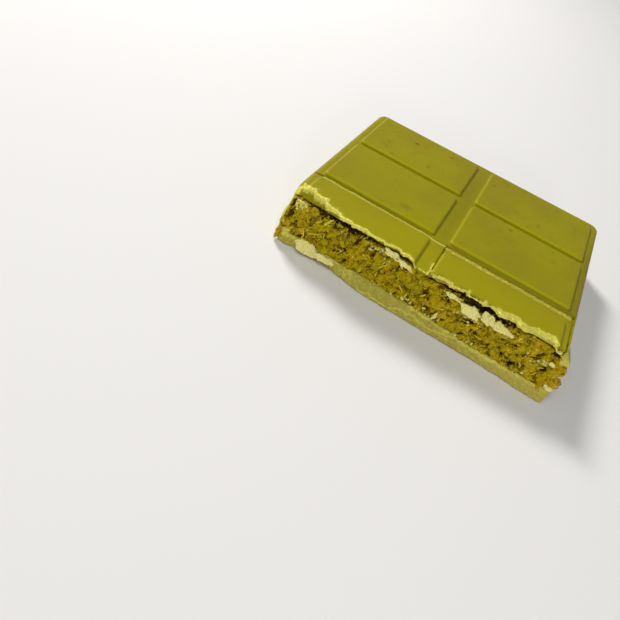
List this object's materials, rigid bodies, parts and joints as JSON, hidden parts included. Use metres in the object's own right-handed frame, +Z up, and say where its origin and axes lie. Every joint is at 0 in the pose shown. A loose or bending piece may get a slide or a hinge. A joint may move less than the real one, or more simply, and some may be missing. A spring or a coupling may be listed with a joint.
{
  "type": "filled chocolate bar",
  "caption": "Broken half of a filled chocolate bar: moulded squares on top, green chocolate shell, shredded pastry filling showing at the snapped end.",
  "frame": {"origin": "middle of the bar's box, on the surface it lies on", "axes": "+Z up through the moulded squares, +X across the bar's width, -Y out of the broken end"},
  "size_m": [0.0816, 0.0677, 0.016],
  "materials": {
    "chocolate": "satin, waxy, olive green, paler where it is broken",
    "filling": "moist golden olive shredded pastry, glossy highlights"
  },
  "bodies": {
    "root": {"chocolate_shell": "chocolate", "filling": "filling"}
  },
  "joints": []
}
